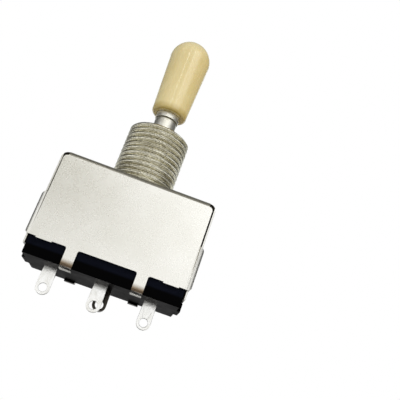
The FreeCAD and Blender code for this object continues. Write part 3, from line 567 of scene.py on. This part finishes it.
def skin(mesh, rows):
    """Joins rows of vertices with quads; a ring's last vertex is joined to its first."""
    for lower, upper in zip(rows, rows[1:]):
        for step in range(STEPS_AROUND):
            following = (step + 1) % len(lower)
            mesh.faces.new((lower[step], lower[following], upper[following], upper[step]))


def arc(centre, radius, start, finish, count):
    """Points on an arc of a half section, angles in degrees from the outward direction."""
    points = []
    for index in range(count + 1):
        angle = math.radians(start + (finish - start) * index / count)
        points.append((centre[0] + radius * math.cos(angle), centre[1] + radius * math.sin(angle)))
    return points


def spaced(first, last, count):
    """Evenly spaced points between two points, without the first."""
    return [tuple(a + (b - a) * index / count for a, b in zip(first, last)) for index in range(1, count + 1)]


def thread_profile():
    """One turn of the thread as (height, radius) points, from a root to the next."""
    flank = (THREAD_PITCH - CREST_FLAT - ROOT_FLAT) / 2
    depth = THREAD_CREST - THREAD_ROOT
    side = [(flank * part, THREAD_ROOT + depth * share) for part, share in FLANK_RISE]
    points = [(0.0, THREAD_ROOT), (ROOT_FLAT, THREAD_ROOT)]
    points += [(ROOT_FLAT + width, radius) for width, radius in side]
    top = ROOT_FLAT + flank
    points += [(top + CREST_FLAT * part, THREAD_CREST - drop) for part, drop in CREST_DROP]
    points += [(THREAD_PITCH - width, radius) for width, radius in reversed(side)]
    return points


def on_thread(height, radius, step):
    """A point of the helix, kept between the case and the chamfered top."""
    height += THREAD_PITCH * step / STEPS_AROUND
    inside = min(max(height, 0.0), THREAD_TOP)
    limit = min(THREAD_ROOT + inside, THREAD_CREST - THREAD_LEAD + THREAD_TOP - inside)
    return (min(radius, limit), inside)


def cut(piece, mesh):
    """Takes a closed bmesh out of a piece."""
    block = finished("cutter", mesh, smooth_below=40.0)
    modifier = piece.modifiers.new("cut", "BOOLEAN")
    modifier.operation = "DIFFERENCE"
    modifier.solver = "EXACT"
    modifier.object = block
    graph = bpy.context.evaluated_depsgraph_get()
    data = bpy.data.meshes.new_from_object(piece.evaluated_get(graph))
    piece.modifiers.clear()
    piece.data = data
    bpy.data.objects.remove(block)


def make_bushing():
    """The threaded bushing: a helical groove outside, a flared mouth, the ball's bore, a pin slot."""
    mesh = bmesh.new()
    rows = []
    for turn in range(-TURNS_BEYOND, int(THREAD_TOP / THREAD_PITCH) + TURNS_BEYOND):
        for offset, radius in thread_profile():
            height = turn * THREAD_PITCH + offset
            places = [turned(on_thread(height, radius, step), step) for step in range(STEPS_AROUND + 1)]
            rows.append([mesh.verts.new(place) for place in places])
    skin(mesh, rows)
    inner = [(THREAD_CREST - THREAD_LEAD, THREAD_TOP)]
    inner += [(MOUTH + outward, THREAD_TOP - down) for outward, down in MOUTH_LIP]
    inner += [(MOUTH, MOUTH_FLOOR), THROAT, SEAT, (SEAT[0], RIM[1]), RIM, (RIM[0], SPIGOT[1])]
    inner += [SPIGOT, (SPIGOT[0], 0.0), (THREAD_ROOT, 0.0)]
    skin(mesh, [ring(mesh, spot) for spot in inner])
    bushing = finished("bushing_threaded", mesh, smooth_below=30.0)
    low, high = SLOT_ENDS
    slot = bmesh.new()
    bmesh.ops.create_cube(slot, size=2.0 * MM)
    bmesh.ops.scale(slot, verts=slot.verts, vec=(*PIN_SLOT, (high - low) / 2))
    bmesh.ops.translate(slot, verts=slot.verts, vec=(0.0, 0.0, (high + low) / 2 * MM))
    cut(bushing, slot)
    return bushing


def make_tip():
    """The cream tip: rounded foot, long taper and domed end, hollow for the stud and collar."""
    mesh = bmesh.new()
    lip = (CUP[0], FOOT_BOTTOM + BREAK)
    rounding = (FOOT_RADIUS - FOOT_ROUND, FOOT_BOTTOM + FOOT_ROUND)
    outside = [lip, (CUP[0] + BREAK, FOOT_BOTTOM)]
    outside += arc(rounding, FOOT_ROUND, -90.0, 0.0, FOOT_STEPS)
    shoulder = math.degrees(math.asin(DOME_START / DOME_RADIUS))
    dome = arc((0.0, DOME_CENTRE), DOME_RADIUS, shoulder, 90.0, DOME_STEPS)
    outside += spaced(outside[-1], dome[0], TAPER_STEPS)
    outside += dome[1:-1] + [(0.0, DOME_CENTRE + DOME_RADIUS)]
    inside = [lip, CUP, (STUD_HOLE[0], CUP[1]), STUD_HOLE, (0.0, STUD_HOLE[1])]
    skin(mesh, [ring(mesh, spot) for spot in outside])
    skin(mesh, [ring(mesh, spot) for spot in inside])
    return finished("tip_shell", mesh, smooth_below=40.0)


def make_lever():
    """The turned lever: banded tail, ball, neck, groove, collar and stud, with broken edges."""
    low_angle = -math.degrees(math.acos(TAIL / BALL))
    high_angle = math.degrees(math.acos(SHANK / BALL))
    low, high = TAIL_BAND
    waist, waist_top = WAIST
    neck, neck_foot = NECK
    groove_foot, groove_top = GROOVE_EDGES
    collar, collar_top = COLLAR
    profile = [(0.0, low), (TAIL - BREAK, low), (TAIL, low + BREAK)]
    profile += [(TAIL, high - BREAK), (TAIL - BREAK, high), (waist, high), WAIST]
    profile += [(TAIL - BREAK, waist_top), (TAIL, waist_top + BREAK)]
    profile += arc((0.0, PIVOT), BALL, low_angle, high_angle, BALL_STEPS)
    profile += [(SHANK, neck_foot - (neck - SHANK)), (neck - NECK_BREAK, neck_foot - NECK_BREAK)]
    profile += [(neck, neck_foot + BREAK)]
    profile += spaced(profile[-1], (neck, groove_foot - BREAK), NECK_STEPS)
    profile += [(neck - GROOVE_BREAK, groove_foot), (GROOVE, groove_foot), (GROOVE, groove_top)]
    profile += [(collar - COLLAR_BREAK, groove_top), (collar, groove_top + COLLAR_BREAK)]
    profile += [(collar, collar_top - COLLAR_BREAK), (collar - COLLAR_BREAK, collar_top)]
    profile += [(STUD[0], collar_top), STUD, (0.0, STUD[1])]
    mesh = bmesh.new()
    skin(mesh, [ring(mesh, spot) for spot in profile])
    lever = finished("lever_turned", mesh, smooth_below=35.0)
    radius, length = PIN_BORE * MM, BORE_LENGTH * MM
    bore = bmesh.new()
    bmesh.ops.create_cone(
        bore, cap_ends=True, segments=BORE_SIDES, radius1=radius, radius2=radius, depth=length
    )
    bmesh.ops.rotate(bore, verts=bore.verts, matrix=Matrix.Rotation(math.pi / 2, 3, "X"))
    bmesh.ops.translate(bore, verts=bore.verts, vec=(0.0, 0.0, PIVOT * MM))
    cut(lever, bore)
    return lever


def carry(piece, body, material_slot, *nodes):
    """Puts a piece on its body in place of CAD nodes, with the finish of its slot."""
    piece.data.materials.append(FINISHES[material_slot])
    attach(piece, body)
    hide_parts(*nodes)


def break_edges(node, width):
    """Rounds a CAD node's sharp edges a little, as sheared or moulded edges are; width in millimetres."""
    weld = node.modifiers.new("weld", "WELD")
    weld.merge_threshold = WELD_REACH * MM
    bevel = node.modifiers.new("broken_edges", "BEVEL")
    bevel.width = width * MM
    bevel.segments = 2
    bevel.limit_method = "ANGLE"
    bevel.angle_limit = math.radians(SHARP_ANGLE)
    bevel.harden_normals = True
    weighted = node.modifiers.new("even_shading", "WEIGHTED_NORMAL")
    weighted.keep_sharp = True


def dress(part):
    """Gives a CAD node its finish and, where its material asks for it, broken edges."""
    node = frame["nodes"][part["node"]]
    node.data.materials.clear()
    node.data.materials.append(FINISHES[part["material_slot"]])
    if part["material_slot"] in EDGE_WIDTHS:
        break_edges(node, EDGE_WIDTHS[part["material_slot"]])


def make_floor():
    """A plain pale round floor below the camera, which fades out at its rim."""
    rim = []
    for step in range(FLOOR_SIDES):
        angle = 2 * math.pi * step / FLOOR_SIDES
        across, along = FLOOR_RADIUS * math.cos(angle), FLOOR_RADIUS * math.sin(angle)
        rim.append(Vector((across, along, FLOOR_HEIGHT)) * MM)
    data = bpy.data.meshes.new("floor")
    data.from_pydata(rim, [], [list(range(FLOOR_SIDES))])
    floor = placed("floor", data)
    finish = Finish("pale_floor", Metallic=0.0, Roughness=0.9)
    grain = finish.noise((0.02, 0.02, 0.02), 3.0)
    finish.colour(finish.ramp(grain, [(0.3, linear(248, 248, 247)), (0.7, linear(251, 251, 250))]))
    length = finish.add("ShaderNodeVectorMath", operation="LENGTH")
    finish.join(finish.stretched((1.0, 1.0, 0.0)), length.inputs[0])
    fade = finish.span(length.outputs["Value"], *FLOOR_FADE, 1.0, 0.0)
    finish.join(fade, finish.shader.inputs["Alpha"])
    data.materials.append(finish.material)


def make_world():
    """An even white studio: white to the eye and in reflections, softer as a light."""
    world = bpy.data.worlds.new("studio")
    bpy.context.scene.world = world
    world.use_nodes = True
    tree = world.node_tree
    tree.nodes.clear()
    add, join = tree.nodes.new, tree.links.new
    path = add("ShaderNodeLightPath")
    seen = path.outputs["Is Camera Ray"]
    for kind in ("Is Glossy Ray", "Is Transmission Ray"):
        either = add("ShaderNodeMath")
        either.operation = "MAXIMUM"
        join(seen, either.inputs[0])
        join(path.outputs[kind], either.inputs[1])
        seen = either.outputs[0]
    soft = add("ShaderNodeBackground")
    soft.inputs["Strength"].default_value = WORLD_LIGHT
    white = add("ShaderNodeBackground")
    for background in (soft, white):
        background.inputs["Color"].default_value = WHITE
    choice = add("ShaderNodeMixShader")
    join(seen, choice.inputs["Fac"])
    join(soft.outputs[0], choice.inputs[1])
    join(white.outputs[0], choice.inputs[2])
    output = add("ShaderNodeOutputWorld")
    join(choice.outputs[0], output.inputs["Surface"])


def make_card(name, direction, distance, size, colour):
    """A card that only reflections see, square to a direction given as (azimuth, elevation) in degrees."""
    turn, rise = (math.radians(value) for value in direction)
    way = Vector((math.sin(turn) * math.cos(rise), -math.cos(turn) * math.cos(rise), math.sin(rise)))
    across = Vector((0.0, 0.0, 1.0)).cross(way).normalized()
    up = way.cross(across)
    middle = way * distance
    half_x, half_y = size[0] / 2, size[1] / 2
    corners = [(-half_x, -half_y), (half_x, -half_y), (half_x, half_y), (-half_x, half_y)]
    data = bpy.data.meshes.new(name)
    data.from_pydata([(middle + across * x + up * y) * MM for x, y in corners], [], [(0, 1, 2, 3)])
    card = placed(name, data)
    material = bpy.data.materials.new(name)
    material.use_nodes = True
    tree = material.node_tree
    tree.nodes.clear()
    glow = tree.nodes.new("ShaderNodeEmission")
    glow.inputs["Color"].default_value = colour
    output = tree.nodes.new("ShaderNodeOutputMaterial")
    tree.links.new(glow.outputs[0], output.inputs["Surface"])
    data.materials.append(material)
    card.visible_camera = False
    card.visible_diffuse = False
    card.visible_shadow = False


def make_light(name, place, size, power, mirrored):
    """A rectangular soft light aimed at the middle of the object; mirrored says if gloss shows it."""
    data = bpy.data.lights.new(name, "AREA")
    data.shape = "RECTANGLE"
    data.size, data.size_y = size[0] * MM, size[1] * MM
    data.energy = power
    light = placed(name, data)
    spot = Vector(place) * MM
    aim = (Vector(LIGHT_TARGET) * MM - spot).to_track_quat("-Z", "Y")
    light.matrix_world = Matrix.Translation(spot) @ aim.to_matrix().to_4x4()
    light.visible_glossy = mirrored


def make_camera():
    """The camera at the photograph's place, with its roll."""
    turn, rise, roll = (math.radians(value) for value in (CAMERA_TURN, CAMERA_RISE, CAMERA_ROLL))
    ahead = Vector((math.sin(turn) * math.cos(rise), math.cos(turn) * math.cos(rise), math.sin(rise)))
    level = Vector((math.cos(turn), -math.sin(turn), 0.0))
    above = level.cross(ahead)
    right = level * math.cos(roll) + above * math.sin(roll)
    up = above * math.cos(roll) - level * math.sin(roll)
    data = bpy.data.cameras.new("camera")
    data.sensor_width = SENSOR
    data.lens = LENS
    data.shift_x, data.shift_y = SHIFT
    data.clip_start, data.clip_end = (value * MM for value in NEAR_AND_FAR)
    camera = placed("camera", data)
    facing = Matrix((right, up, -ahead)).transposed().to_4x4()
    camera.matrix_world = Matrix.Translation(Vector(CAMERA_PLACE) * MM) @ facing
    bpy.context.scene.camera = camera


# The finish of each material slot.
FINISHES = {
    "sheet_metal": sheet_finish(),
    "bushing_metal": bushing_finish(),
    "lever_metal": turned_finish(),
    "tip_plastic": tip_finish(),
    "base_plastic": base_finish(),
    "contact_metal": contact_finish(),
    "fibre_board": board_finish(),
    "spring_metal": spring_finish(),
    "slider_plastic": nylon_finish(),
}

for part in frame["record"]["subparts"]:
    dress(part)

carry(make_bushing(), "housing", "bushing_metal", "bushing")
carry(make_tip(), "lever", "tip_plastic", "tip")
carry(make_lever(), "lever", "lever_metal", "lever")

make_floor()
make_world()
make_light("key", (230.0, -380.0, 340.0), (330.0, 330.0), 1.3, True)
make_light("fill", (-300.0, -330.0, 120.0), (260.0, 260.0), 0.4, False)
for card in CARDS:
    make_card(*card)
make_camera()
bpy.context.scene.view_settings.view_transform = "Standard"
